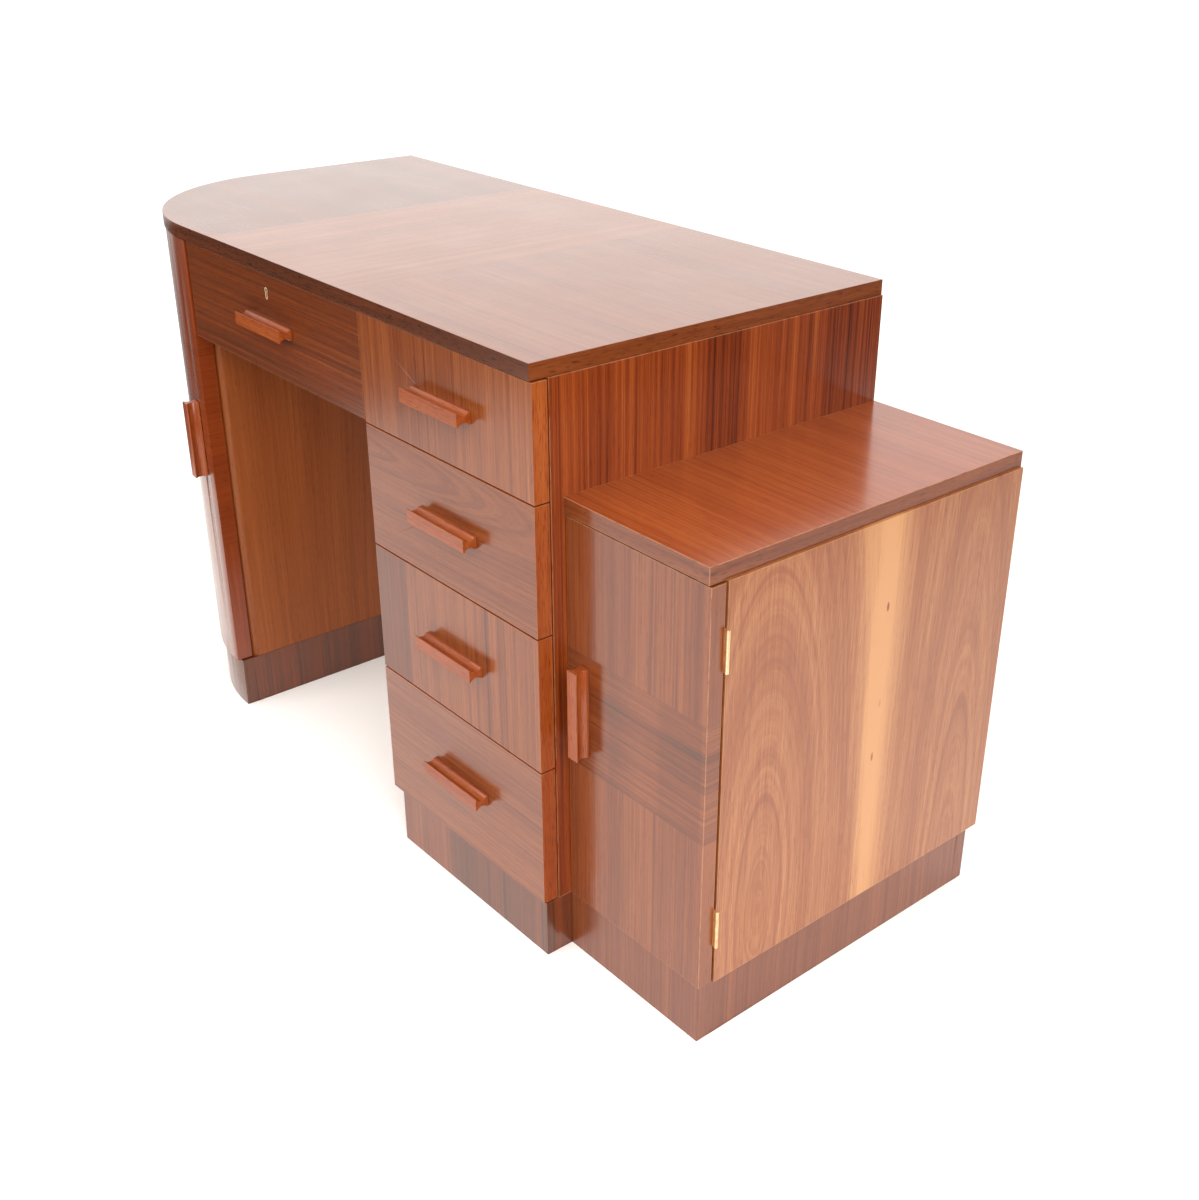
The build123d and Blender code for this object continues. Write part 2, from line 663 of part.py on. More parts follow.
lock_y = FRONT_BACK_Y - LOCK_DEPTH
lock_blank = block(
    LOCK_X - LOCK_WIDTH / 2,
    LOCK_X + LOCK_WIDTH / 2,
    lock_y,
    FRONT_BACK_Y,
    FRONT_TOP - LOCK_HEIGHT,
    FRONT_TOP,
)
bolt_room = about_bolt(
    BOLT_WIDTH / 2 + BOLT_SLACK,
    BOLT_THICKNESS / 2 + BOLT_SLACK,
    FRONT_TOP - LOCK_HEIGHT + 2,
    FRONT_TOP,
)
key_pin = Rot(X=90) * Cylinder(KEY_PIN_RADIUS, LOCK_DEPTH)
key_pin = Pos(LOCK_X, lock_y + LOCK_DEPTH / 2, KEYHOLE_HEIGHT) * key_pin
escutcheon_blank = keyhole(ESCUTCHEON_RIM, FACE_Y - ESCUTCHEON_PROUD, FACE_Y + ESCUTCHEON_DEPTH)
through_keyhole = keyhole(0, FACE_Y - 1, BOLT_Y)
keep("lock_case", lock_blank - bolt_room - through_keyhole + key_pin)
bolt_bottom = KEYHOLE_HEIGHT + 2 * KEYHOLE_RADIUS
keep("lock_bolt", about_bolt(BOLT_WIDTH / 2, BOLT_THICKNESS / 2, bolt_bottom, FRONT_TOP - 0.5))
keep("keyhole_escutcheon", escutcheon_blank - through_keyhole)

make_drawer(
    "kneehole_drawer",
    (KNEEHOLE_DRAWER_LEFT, PEDESTAL_LEFT - FACE_SETBACK),
    (KNEEHOLE_BOX_LEFT, PEDESTAL_LEFT - FACE_SETBACK - SIDE_CLEARANCE),
    (KNEEHOLE_DRAWER_BOTTOM, FRONT_TOP),
    (RUNNER_TOP + SLIDE_CLEARANCE, RAIL_UNDERSIDE - DRAWER_HEADROOM),
    pockets=(lock_blank, escutcheon_blank, through_keyhole),
)

# ---- Doors --------------------------------------------------------------------------------------

CATCH_WIDTH = 9.0
CATCH_DEPTH = 16.0
CATCH_HEIGHT = 20.0
CATCH_MOUTH_DEPTH = 13.0
TONGUE = 2.0
TONGUE_CLEARANCE = 0.5
TONGUE_REACH = 11.0
TONGUE_INSET = 2.0
CATCH_LEVEL_LOW = 370.0
CATCH_LEVEL_CURVED = 450.0


def catch_body(left, front, level):
    """A ball catch's body: two jaws, one above and one below the tongue, joined at the back."""
    right = left + CATCH_WIDTH
    half_height = CATCH_HEIGHT / 2
    half_mouth = TONGUE / 2 + TONGUE_CLEARANCE
    body = block(left, right, front, front + CATCH_DEPTH, level - half_height, level + half_height)
    mouth_back = front + CATCH_MOUTH_DEPTH
    return body - block(left - 1, right + 1, front - 1, mouth_back, level - half_mouth, level + half_mouth)


def catch_tongue(left, door_back, front, level):
    """The flat tongue on a door that enters its catch."""
    near, far = left + TONGUE_INSET, left + CATCH_WIDTH - TONGUE_INSET
    return block(near, far, door_back, front + TONGUE_REACH, level - TONGUE / 2, level + TONGUE / 2)


vertical = Rot(Y=90)
low_handle_place = Pos(LOW_DOOR_LEFT + DOOR_HANDLE_INSET, LOW_FACE_Y, LOW_HANDLE_HEIGHT) * vertical
low_handle_screws = move_all(low_handle_place, handle_screws(FRONT_THICKNESS))
low_handle_blanks = move_all(low_handle_place, handle_screws(FRONT_THICKNESS, slotted=False))
low_door = block(
    LOW_DOOR_LEFT, LOW_DOOR_RIGHT, LOW_FACE_Y, LOW_DOOR_BACK_Y, DOOR_BOTTOM, LOW_DOOR_TOP
)
keep("low_door", *cut_all([low_door], low_handle_blanks + low_hinges["blanks"][DOOR]))
keep("low_door_handle", *cut_all([low_handle_place * handle_bar()], low_handle_blanks))
keep(
    "low_door_fittings",
    *low_hinges["leaves"][DOOR],
    catch_tongue(LOW_LEFT, LOW_DOOR_BACK_Y, LOW_CARCASE_Y, CATCH_LEVEL_LOW),
)
keep("low_door_screws", *low_handle_screws, *low_hinges["screws"][DOOR])

curved_door = rounded_block(
    DOOR_RADIUS, CURVE_X, CURVED_DOOR_END_Y, DOOR_BOTTOM, CURVED_DOOR_TOP
) - rounded_block(DOOR_INNER_RADIUS, CURVE_X, CURVED_DOOR_END_Y, DOOR_BOTTOM, CURVED_DOOR_TOP)
handle_turn = math.asin(DOOR_HANDLE_INSET / DOOR_RADIUS)
curved_handle_place = (
    Pos(
        CURVE_X - DOOR_RADIUS * math.sin(handle_turn),
        CURVE_Y - DOOR_RADIUS * math.cos(handle_turn),
        CURVED_HANDLE_HEIGHT,
    )
    * Rot(Z=-math.degrees(handle_turn))
    * vertical
)
curved_handle_screws = move_all(curved_handle_place, handle_screws(CURVED_DOOR_THICKNESS))
curved_handle_blanks = move_all(
    curved_handle_place, handle_screws(CURVED_DOOR_THICKNESS, slotted=False)
)
curved_tongue = catch_tongue(
    CUPBOARD_INNER_X - CATCH_WIDTH, CUPBOARD_Y - 6, CUPBOARD_Y, CATCH_LEVEL_CURVED
)
curved_handle_cutters = [*curved_handle_blanks, curved_door]
keep("curved_door_handle", *cut_all([curved_handle_place * handle_bar()], curved_handle_cutters))
keep("curved_door_fittings", *curved_hinges["leaves"][DOOR], curved_tongue - curved_door)
keep("curved_door", *cut_all([curved_door], curved_handle_blanks + curved_hinges["blanks"][DOOR]))
keep("curved_door_screws", *curved_handle_screws, *curved_hinges["screws"][DOOR])
keep(
    "catch_bodies",
    catch_body(LOW_LEFT, LOW_CARCASE_Y, CATCH_LEVEL_LOW),
    catch_body(CUPBOARD_INNER_X - CATCH_WIDTH, CUPBOARD_Y, CATCH_LEVEL_CURVED),
)

# ---- Written files ------------------------------------------------------------------------------

os.makedirs("parts", exist_ok=True)
to_origin = Pos(-ORIGIN_X, -ORIGIN_Y, 0)
for node_name, node_solids in nodes.items():
    placed = [solid for shape in move_all(to_origin, node_solids) for solid in shape.solids()]
    export_step(Compound(children=placed, label=node_name), f"parts/{node_name}.step")
print(len(nodes), "nodes written")
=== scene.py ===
import math

import bpy
from mathutils import Matrix, Vector


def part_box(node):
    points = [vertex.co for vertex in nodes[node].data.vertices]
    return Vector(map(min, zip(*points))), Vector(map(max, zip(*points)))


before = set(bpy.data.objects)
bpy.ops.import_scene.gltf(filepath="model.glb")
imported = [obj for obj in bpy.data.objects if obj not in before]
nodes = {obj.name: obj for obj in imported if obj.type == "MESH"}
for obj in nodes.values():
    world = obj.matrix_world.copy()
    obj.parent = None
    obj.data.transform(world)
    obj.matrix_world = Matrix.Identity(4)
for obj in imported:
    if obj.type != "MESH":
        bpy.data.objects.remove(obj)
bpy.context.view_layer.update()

# ---- Places taken from the frame ----------------------------------------------------------------

PEDESTAL_LOW, PEDESTAL_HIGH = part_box("main_end_panel")
LOW_DOOR_LOW, LOW_DOOR_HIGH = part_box("low_door")
LOW_PANEL_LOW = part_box("low_end_panel")[0]
MM = 0.001


# ---- Shader building ----------------------------------------------------------------------------

# A Mix node's sockets for its first and second value and its result, by the kind of value.
COLOUR_SOCKETS = 6, 7, 2
VECTOR_SOCKETS = 4, 5, 1


class Shader:
    """A material under construction, with short calls for the nodes that the finishes here are made of."""

    def __init__(self, name):
        self.material = bpy.data.materials.new(name)
        self.material.use_nodes = True
        self.tree = self.material.node_tree
        self.tree.nodes.clear()
        coordinates = self.tree.nodes.new("ShaderNodeTexCoord")
        self.position = coordinates.outputs["Object"]
        self.normal = coordinates.outputs["Normal"]
        self.x, self.y, self.z = self.split(self.position)
        self.axes = {"X": self.x, "Y": self.y, "Z": self.z}

    def node(self, kind, inputs, **settings):
        made = self.tree.nodes.new(kind)
        for key, value in settings.items():
            setattr(made, key, value)
        for key, value in inputs.items():
            if isinstance(value, bpy.types.NodeSocket):
                self.tree.links.new(value, made.inputs[key])
            elif value is not None:
                made.inputs[key].default_value = value
        return made

    def math(self, operation, a, b=None, c=None):
        return self.node("ShaderNodeMath", {0: a, 1: b, 2: c}, operation=operation).outputs[0]

    def vector(self, operation, a, b):
        return self.node("ShaderNodeVectorMath", {0: a, 1: b}, operation=operation).outputs[0]

    def split(self, vector):
        return self.node("ShaderNodeSeparateXYZ", {0: vector}).outputs[:]

    def join(self, x, y, z):
        return self.node("ShaderNodeCombineXYZ", {0: x, 1: y, 2: z}).outputs[0]

    def swing(self, value, amount, base):
        """The base, raised and lowered by an amount as a value goes from 0 to 1."""
        return self.math("MULTIPLY_ADD", self.math("SUBTRACT", value, 0.5), amount, base)

    def noise(self, vector, waves, detail=3.0, roughness=0.55):
        """Noise from 0 to 1. waves counts them per metre, along each of the vector's parts or along all."""
        if isinstance(waves, float):
            waves = (waves, waves, waves)
        inputs = {"Vector": self.vector("MULTIPLY", vector, waves), "Scale": 1.0}
        inputs.update({"Detail": detail, "Roughness": roughness})
        return self.node("ShaderNodeTexNoise", inputs).outputs["Fac"]

    def remap(self, value, low, high, to_low=0.0, to_high=1.0, smooth=True):
        inputs = {0: value, 1: low, 2: high, 3: to_low, 4: to_high}
        kind = "SMOOTHSTEP" if smooth else "LINEAR"
        return self.node("ShaderNodeMapRange", inputs, interpolation_type=kind).outputs[0]

    def ramp(self, value, stops):
        """The colour or grey at a value. stops lists (place, colour or grey)."""
        made = self.node("ShaderNodeValToRGB", {0: value})
        elements = made.color_ramp.elements
        while len(elements) < len(stops):
            elements.new(1.0)
        for element, (place, colour) in zip(elements, stops):
            element.position = place
            element.color = (*colour, 1.0) if isinstance(colour, tuple) else (colour, colour, colour, 1.0)
        return made.outputs[0]

    def mix(self, factor, a, b):
        """Colour a where factor is 0 and colour b where it is 1."""
        made = self.node("ShaderNodeMix", {0: factor}, data_type="RGBA", clamp_result=False)
        first, second, result = COLOUR_SOCKETS
        for socket, value in ((made.inputs[first], a), (made.inputs[second], b)):
            if isinstance(value, bpy.types.NodeSocket):
                self.tree.links.new(value, socket)
            else:
                socket.default_value = (*value, 1.0)
        return made.outputs[result]

    def mix_vector(self, factor, a, b):
        """Vector a where factor is 0 and vector b where it is 1."""
        first, second, result = VECTOR_SOCKETS
        made = self.node("ShaderNodeMix", {0: factor, first: a, second: b}, data_type="VECTOR")
        return made.outputs[result]

    def bump(self, height, strength, distance, below=None):
        inputs = {"Height": height, "Strength": strength, "Distance": distance, "Normal": below}
        return self.node("ShaderNodeBump", inputs).outputs[0]

    def finish(self, colour, roughness, normal=None, coat_normal=None, **uniform):
        """The surface. The uniform values are set on the shader's own sockets."""
        shader = self.node("ShaderNodeBsdfPrincipled", {"Base Color": colour, "Roughness": roughness})
        for key, value in uniform.items():
            shader.inputs[key.replace("_", " ")].default_value = value
        if normal is not None:
            self.tree.links.new(normal, shader.inputs["Normal"])
        if coat_normal is not None:
            self.tree.links.new(coat_normal, shader.inputs["Coat Normal"])
        output = self.node("ShaderNodeOutputMaterial", {})
        self.tree.links.new(shader.outputs[0], output.inputs["Surface"])
        return self.material


# ---- Walnut -------------------------------------------------------------------------------------

# Walnut from its dark heart streaks to its pale sapwood.
WALNUT = (
    (0.00, (0.018, 0.0095, 0.0055)),
    (0.25, (0.056, 0.0150, 0.0048)),
    (0.50, (0.146, 0.0300, 0.0062)),
    (0.75, (0.262, 0.0700, 0.0160)),
    (1.00, (0.520, 0.2350, 0.0820)),
)
# Solid walnut and some of the sheets are redder.
RED_WALNUT = (
    (0.00, (0.030, 0.0050, 0.0020)),
    (0.30, (0.110, 0.0160, 0.0030)),
    (0.60, (0.240, 0.0430, 0.0070)),
    (1.00, (0.430, 0.1200, 0.0250)),
)
WORN_WOOD = (0.52, 0.27, 0.13)

# A pith far off to one side leaves a sheet's lines straight.
FAR_PITH = ((-0.9, 0.3, 0.0, 0.0),)

# How far one numbered sheet's noise lies from the next one's.
SHEET_STEP_THROUGH = 1.7
SHEET_STEP_ALONG = 3.1

# Waves per metre of each layer of a sheet's figure, (across, through, along) the grain. The growth rings'
# layers have no through direction.
DRIFT_WAVES = (5.0, 5.0, 1.5)
BROAD_WAVES = (34.0, 1.0, 0.7)
NARROW_WAVES = (300.0, 1.0, 1.8)
STREAK_WAVES = (130.0, 1.0, 1.1)
FIBRE_WAVES = (700.0, 700.0, 11.0)
PORE_WAVES = (1500.0, 1500.0, 55.0)

# How strongly the fibres show, and how much the streaks, pores and joints darken the wood.
FIBRE_FIGURE = 0.24
STREAK_FIGURE = 0.22
PORE_FIGURE = 0.16
JOINT_FIGURE = 0.14
JOINT_WIDTH = 0.5 * MM
# The noise at which a mark begins, and that at which it is full.
STREAK_ONSET = (0.62, 0.74)
PORE_ONSET = (0.60, 0.72)
# The part of a normal along the veneered face's axis at which its lipping ends and the veneer is whole.
FACE_TURN = (0.55, 0.80)
# Most of a noise's values lie between these.
MOST_NOISE = (0.3, 0.7)

# Edges are rubbed bare within this reach, in patches.
WEAR_REACH = (0.2 * MM, 1.1 * MM)
RUB_WAVES = 60.0
RUB_ONSET = (0.20, 0.55)
WORN_ROUGHNESS = 0.12
CLOUD_WAVES = 9.0
VENEER_ROUGHNESS = (0.38, 0.48)
GRAIN_STRENGTH = 0.12
GRAIN_DEPTH = 0.3 * MM
UNDULATION_WAVES = 22.0
UNDULATION_STRENGTH = 0.10
UNDULATION_DEPTH = 0.6 * MM

# Under the clear coat of polish the wood itself hardly shines.
BASE_SPECULAR = 0.05
POLISH_IOR = 1.58

# Waves per metre of solid walnut's bands, fibres and pores, and the place of its own piece of noise.
SOLID_BAND_WAVES = (120.0, 120.0, 3.0)
SOLID_FIBRE_WAVES = (600.0, 600.0, 22.0)
SOLID_PORE_WAVES = (900.0, 900.0, 60.0)
SOLID_SHIFT = (0.0, 11.9, 21.7)
SOLID_TONE = 0.60
SOLID_BAND_FIGURE = 0.45
SOLID_FIBRE_FIGURE = 0.25
SOLID_PORE_FIGURE = 0.22
SOLID_PORE_ONSET = (0.56, 0.68)

HANDLE_POLISH = 0.7
HANDLE_GLOSS = 0.22
HANDLE_ROUGHNESS = (0.36, 0.50)
HANDLE_GRAIN_WAVES = (700.0, 700.0, 30.0)
HANDLE_GRAIN_DEPTH = 0.25 * MM


def turned(shader, lie):
    """The position as (across, through, along) the grain.

    lie names the axis along the grain and the one across it. R runs round an outline seen from above.
    """
    axes = dict(shader.axes)
    if "R" in lie:
        axes["R"] = shader.math("SUBTRACT", shader.x, shader.y)
        through = 0.0
    else:
        through = axes[(set("XYZ") - set(lie)).pop()]
    along_axis, across_axis = lie
    return shader.join(axes[across_axis], through, axes[along_axis])


def sheet_shift(shader, sheet):
    """A shift through and along the grain that makes every numbered sheet a different one."""
    through = shader.math("MULTIPLY", sheet, SHEET_STEP_THROUGH)
    along = shader.math("MULTIPLY", sheet, SHEET_STEP_ALONG)
    return shader.join(0.0, through, along)


def box_edge_distance(shader, low, high):
    """How far a point on a box's surface is from the nearest edge: the middle one of three depths."""
    depths = []
    for value, least, most in zip((shader.x, shader.y, shader.z), low, high):
        above = shader.math("SUBTRACT", value, least)
        below = shader.math("SUBTRACT", most, value)
        depths.append(shader.math("MINIMUM", above, below))
    small = shader.math("MINIMUM", depths[0], depths[1])
    large = shader.math("MAXIMUM", depths[0], depths[1])
    return shader.math("MAXIMUM", small, shader.math("MINIMUM", large, depths[2]))


def growth_rings(s, across, lengthwise, piths):
    """The distance from the nearest pith. Each pith is (place across, depth, slope, level).

    A pith that slopes away from the sheet above and below its level draws nested arches there.
    """
    nearest = None
    for place, depth, slope, level in piths:
        side = s.math("SUBTRACT", across, place)
        rise = s.math("ABSOLUTE", s.math("SUBTRACT", lengthwise, level))
        below = s.math("MULTIPLY_ADD", rise, slope, depth)
        square = s.math("MULTIPLY_ADD", below, below, s.math("MULTIPLY", side, side))
        ring = s.math("SQRT", square)
        nearest = ring if nearest is None else s.math("MINIMUM", nearest, ring)
    return nearest


def walnut(name, field, more_fields=(), field_axis="Z", leaves=(), leaf_axis="X", leaf_span=(0.0, 1.0),
           piths=FAR_PITH, wander=3.0, broad_figure=0.40, fine_figure=0.45, sapwood=None, palette=WALNUT,
           lipping=None, lip_lie="ZX", lip_tone=0.03, lip_palette=RED_WALNUT, lip_painted_side_light=0.0,
           edge_box=None, wear=0.45, gloss=0.20, polish=1.0):
    """Polished walnut veneer.

    field gives the sheet as (lie, sheet number, tone), and more_fields lists (start, lie, sheet number, tone)
    of further sheets along field_axis. leaves lists (place, tone) across leaf_span, for bands of tone within
    a sheet. piths are given as for growth_rings. wander is in millimetres.
    lipping is the axis that the veneered face looks along: other faces show the solid edge, which is
    lightened by a given amount where it looks along X: painted light on that side.
    edge_box is the board's box, whose edges are worn.
    """
    s = Shader(name)
    along = s.axes[field_axis]
    lie, sheet, value = field
    grain_place = turned(s, lie)
    joint_line = None
    for start, field_lie, field_sheet, field_tone in more_fields:
        inside = s.math("GREATER_THAN", along, start)
        grain_place = s.mix_vector(inside, grain_place, turned(s, field_lie))
        sheet = s.remap(inside, 0.0, 1.0, sheet, field_sheet, smooth=False)
        value = s.remap(inside, 0.0, 1.0, value, field_tone, smooth=False)
        from_joint = s.math("ABSOLUTE", s.math("SUBTRACT", along, start))
        near = s.remap(from_joint, 0.0, JOINT_WIDTH, 1.0, 0.0)
        joint_line = near if joint_line is None else s.math("MAXIMUM", joint_line, near)
    shift = sheet_shift(s, sheet)

    # The sheet's lines wander a little, and follow rings about the piths.
    drift = s.noise(s.vector("ADD", grain_place, shift), DRIFT_WAVES)
    across, through, lengthwise = s.split(grain_place)
    across = s.swing(drift, 2 * wander * MM, across)
    ring = growth_rings(s, across, lengthwise, piths)
    ring_place = s.vector("ADD", s.join(ring, 0.0, lengthwise), shift)
    broad = s.noise(ring_place, BROAD_WAVES, 2.5, 0.6)
    narrow = s.noise(ring_place, NARROW_WAVES, 3.0, 0.66)
    streak = s.noise(ring_place, STREAK_WAVES, 1.0)
    fibre_place = s.vector("ADD", s.join(across, through, lengthwise), shift)
    fibre = s.noise(fibre_place, FIBRE_WAVES, 2.0, 0.6)
    pores = s.noise(fibre_place, PORE_WAVES, 1.0, 0.5)
    value = s.math("ADD", value, 0.5)
    for layer, amount in ((broad, broad_figure), (narrow, fine_figure), (fibre, FIBRE_FIGURE)):
        value = s.swing(layer, amount, value)
    dark_streaks = s.remap(streak, *STREAK_ONSET)
    value = s.math("MULTIPLY_ADD", dark_streaks, -STREAK_FIGURE * fine_figure, value)
    if leaves:
        span = s.remap(s.axes[leaf_axis], *leaf_span, smooth=False)
        leaf = s.ramp(span, [(place, 0.5 + shade) for place, shade in leaves])
        value = s.math("ADD", value, s.math("SUBTRACT", leaf, 0.5))
    dark_pores = s.remap(pores, *PORE_ONSET, 0.0, PORE_FIGURE)
    value = s.math("SUBTRACT", value, dark_pores)
    if sapwood:
        value = sapwood(s, value)
    if joint_line is not None:
        value = s.math("MULTIPLY_ADD", joint_line, -JOINT_FIGURE, value)
    colour = s.ramp(value, palette)

    if lipping:
        facing = s.split(s.normal)["XYZ".index(lipping)]
        rim = s.remap(s.math("ABSOLUTE", facing), *FACE_TURN, 1.0, 0.0)
        colour = s.mix(rim, colour, solid_walnut_colour(s, lip_lie, lip_tone, lip_palette, lip_painted_side_light))
    roughness = s.remap(s.noise(s.position, CLOUD_WAVES), *MOST_NOISE, *VENEER_ROUGHNESS)
    if edge_box:
        at_edge = s.remap(box_edge_distance(s, *edge_box), *WEAR_REACH, 1.0, 0.0)
        rubbed = s.remap(s.noise(s.position, RUB_WAVES, 2.0), *RUB_ONSET)
        worn = s.math("MULTIPLY", at_edge, rubbed)
        colour = s.mix(s.math("MULTIPLY", worn, wear), colour, WORN_WOOD)
        roughness = s.math("MULTIPLY_ADD", worn, WORN_ROUGHNESS, roughness)

    # The pores are felt in the wood. The coat over them only undulates.
    height = s.math("MULTIPLY_ADD", dark_pores, -1.0, s.math("MULTIPLY", fibre, 0.10))
    undulation = s.noise(s.position, UNDULATION_WAVES, 1.0)
    waves = s.bump(undulation, UNDULATION_STRENGTH, UNDULATION_DEPTH)
    normal = s.bump(height, GRAIN_STRENGTH, GRAIN_DEPTH, waves)
    return s.finish(colour, roughness, normal, waves, Specular_IOR_Level=BASE_SPECULAR, Coat_Weight=polish,
                    Coat_Roughness=gloss, Coat_IOR=POLISH_IOR)


def solid_walnut_colour(s, lie, tone, palette=RED_WALNUT, painted_side_light=0.0):
    """Straight, open-pored solid walnut, with a painted light that lightens faces that look along X."""
    place = s.vector("ADD", turned(s, lie), SOLID_SHIFT)
    bands = s.noise(place, SOLID_BAND_WAVES, 3.0, 0.6)
    fibre = s.noise(place, SOLID_FIBRE_WAVES, 2.0)
    pores = s.noise(place, SOLID_PORE_WAVES, 1.0)
    value = s.swing(bands, SOLID_BAND_FIGURE, SOLID_TONE + tone)
    value = s.swing(fibre, SOLID_FIBRE_FIGURE, value)
    value = s.math("SUBTRACT", value, s.remap(pores, *SOLID_PORE_ONSET, 0.0, SOLID_PORE_FIGURE))
    # Painted light: faces that look along X are lightened by the given amount, as if lit more from that side.
    sideways = s.math("ABSOLUTE", s.split(s.normal)[0])
    value = s.math("MULTIPLY_ADD", sideways, painted_side_light, value)
    return s.ramp(value, palette)


def solid_walnut(name, lie, tone):
    """Polished solid walnut."""
    s = Shader(name)
    colour = solid_walnut_colour(s, lie, tone)
    grain = s.noise(turned(s, lie), HANDLE_GRAIN_WAVES, 2.0)
    normal = s.bump(grain, 0.15, HANDLE_GRAIN_DEPTH)
    roughness = s.remap(s.noise(s.position, 30.0, 2.0), *MOST_NOISE, *HANDLE_ROUGHNESS)
    return s.finish(colour, roughness, normal, normal, Specular_IOR_Level=BASE_SPECULAR,
                    Coat_Weight=HANDLE_POLISH, Coat_Roughness=HANDLE_GLOSS, Coat_IOR=POLISH_IOR)


# ---- Inner timbers and metal --------------------------------------------------------------------

TIMBER_BAND_WAVES = (70.0, 70.0, 1.6)
TIMBER_FIBRE_WAVES = (500.0, 500.0, 14.0)
TIMBER_PORE_WAVES = (1100.0, 1100.0, 45.0)
TIMBER_PORE_ONSET = (0.58, 0.70)
TIMBER_ROUGHNESS = (0.55, 0.70)
GRIME_WAVES = 7.0
GRIME_ONSET = (0.45, 0.80)
MOST_GRIME = 0.35
# How much darker than a timber's dark bands its pores and its grime are.
PORE_SHADE = 0.45
GRIME_SHADE = 0.6

SCRATCH_WAVES = (900.0, 900.0, 90.0)
# What is left of bright metal's red, green and blue where it is tarnished.
TARNISH = (0.78, 0.68, 0.55)
METAL_ROUGHNESS = (0.24, 0.36)
TARNISHED_ROUGHNESS = 0.20
PATCH_WAVES = 70.0

RUBBED_BRASS = (0.95, 0.70, 0.42)
DULL_BRASS = (0.62, 0.40, 0.20)
# Painted shade: the near-black colour given to the walls of the keyhole.
KEYHOLE_PAINTED_SHADE = (0.030, 0.016, 0.008)


def shaded(colour, shade):
    return tuple(shade * part for part in colour)


def plain_timber(name, lie, dark, light, sheet=0.0):
    """Sanded, unpolished hardwood, with short flecks and pores."""
    s = Shader(name)
    place = s.vector("ADD", turned(s, lie), sheet_shift(s, sheet))
    bands = s.noise(place, TIMBER_BAND_WAVES, 3.0, 0.6)
    fibre = s.noise(place, TIMBER_FIBRE_WAVES, 2.0)
    pores = s.remap(s.noise(place, TIMBER_PORE_WAVES, 1.0), *TIMBER_PORE_ONSET)
    value = s.swing(fibre, 0.5, bands)
    colour = s.ramp(value, ((0.25, dark), (0.75, light)))
    colour = s.mix(s.math("MULTIPLY", pores, 0.55), colour, shaded(dark, PORE_SHADE))
    grime = s.remap(s.noise(s.position, GRIME_WAVES, 4.0), *GRIME_ONSET, 0.0, MOST_GRIME)
    colour = s.mix(grime, colour, shaded(dark, GRIME_SHADE))
    height = s.math("SUBTRACT", s.math("MULTIPLY", fibre, 0.4), pores)
    roughness = s.remap(bands, *MOST_NOISE, *TIMBER_ROUGHNESS)
    return s.finish(colour, roughness, s.bump(height, 0.25, 0.3 * MM))


def worn_metal(name, bright, metallic=1.0):
    """Old metal: bright where it is rubbed, browner in patches, with fine scratches."""
    s = Shader(name)
    patches = s.remap(s.noise(s.position, PATCH_WAVES), 0.35, 0.70)
    scratches = s.noise(s.position, SCRATCH_WAVES, 2.0)
    tarnished = tuple(part * left for part, left in zip(bright, TARNISH))
    colour = s.mix(patches, bright, tarnished)
    roughness = s.remap(scratches, *MOST_NOISE, *METAL_ROUGHNESS)
    roughness = s.math("MULTIPLY_ADD", patches, TARNISHED_ROUGHNESS, roughness)
    return s.finish(colour, roughness, s.bump(scratches, 0.12, 0.1 * MM), Metallic=metallic)


def escutcheon_brass():
    """Brass whose face is rubbed bright, with painted shade, near black, on the walls of the keyhole."""
    s = Shader("escutcheon_brass")
    face = s.remap(s.math("ABSOLUTE", s.split(s.normal)[1]), 0.7, 0.9)
    mottle = s.remap(s.noise(s.position, 420.0), 0.4, 0.65, 0.0, 0.3)
    # Painted shade: sides that do not face front or back are painted near black, as the shade inside the
    # keyhole.
    colour = s.mix(face, KEYHOLE_PAINTED_SHADE, s.mix(mottle, RUBBED_BRASS, DULL_BRASS))
    roughness = s.remap(face, 0.0, 1.0, 0.8, 0.42)
    return s.finish(colour, roughness, Metallic=0.3)


# ---- Each panel's own veneer --------------------------------------------------------------------

# The sapwood stripe lies between these distances from the low end panel's front edge. Its near edge
# slants with the height, and both edges wave and fray.
SAPWOOD_NEAR = 0.236
SAPWOOD_NEAR_FADE = (-0.012, 0.040)
SAPWOOD_SLANT = -0.10
SAPWOOD_FAR = (0.258, 0.300)
SAPWOOD_CORE_RISE = (0.218, 0.240)
SAPWOOD_CORE_FALL = (0.246, 0.266)
SAPWOOD_WAVING = 0.014
SAPWOOD_FRAYING = 0.020
# How far the figure is drawn towards one tone, and how much the stripe and its core lighten it.
SAPWOOD_CALM = 0.65
SAPWOOD_TONE = 0.72
SAPWOOD_LIGHTENING = 0.21
SAPWOOD_CORE_LIGHTENING = 0.10
# The knots are (distance from the front edge, height, darkness).
KNOTS = ((0.250, 0.476, 0.42), (0.251, 0.351, 0.14), (0.246, 0.280, 0.30))
# One over a knot's reach to the side and up, per metre.
KNOT_SIDE_SCALE = 380.0
KNOT_RISE_SCALE = 130.0


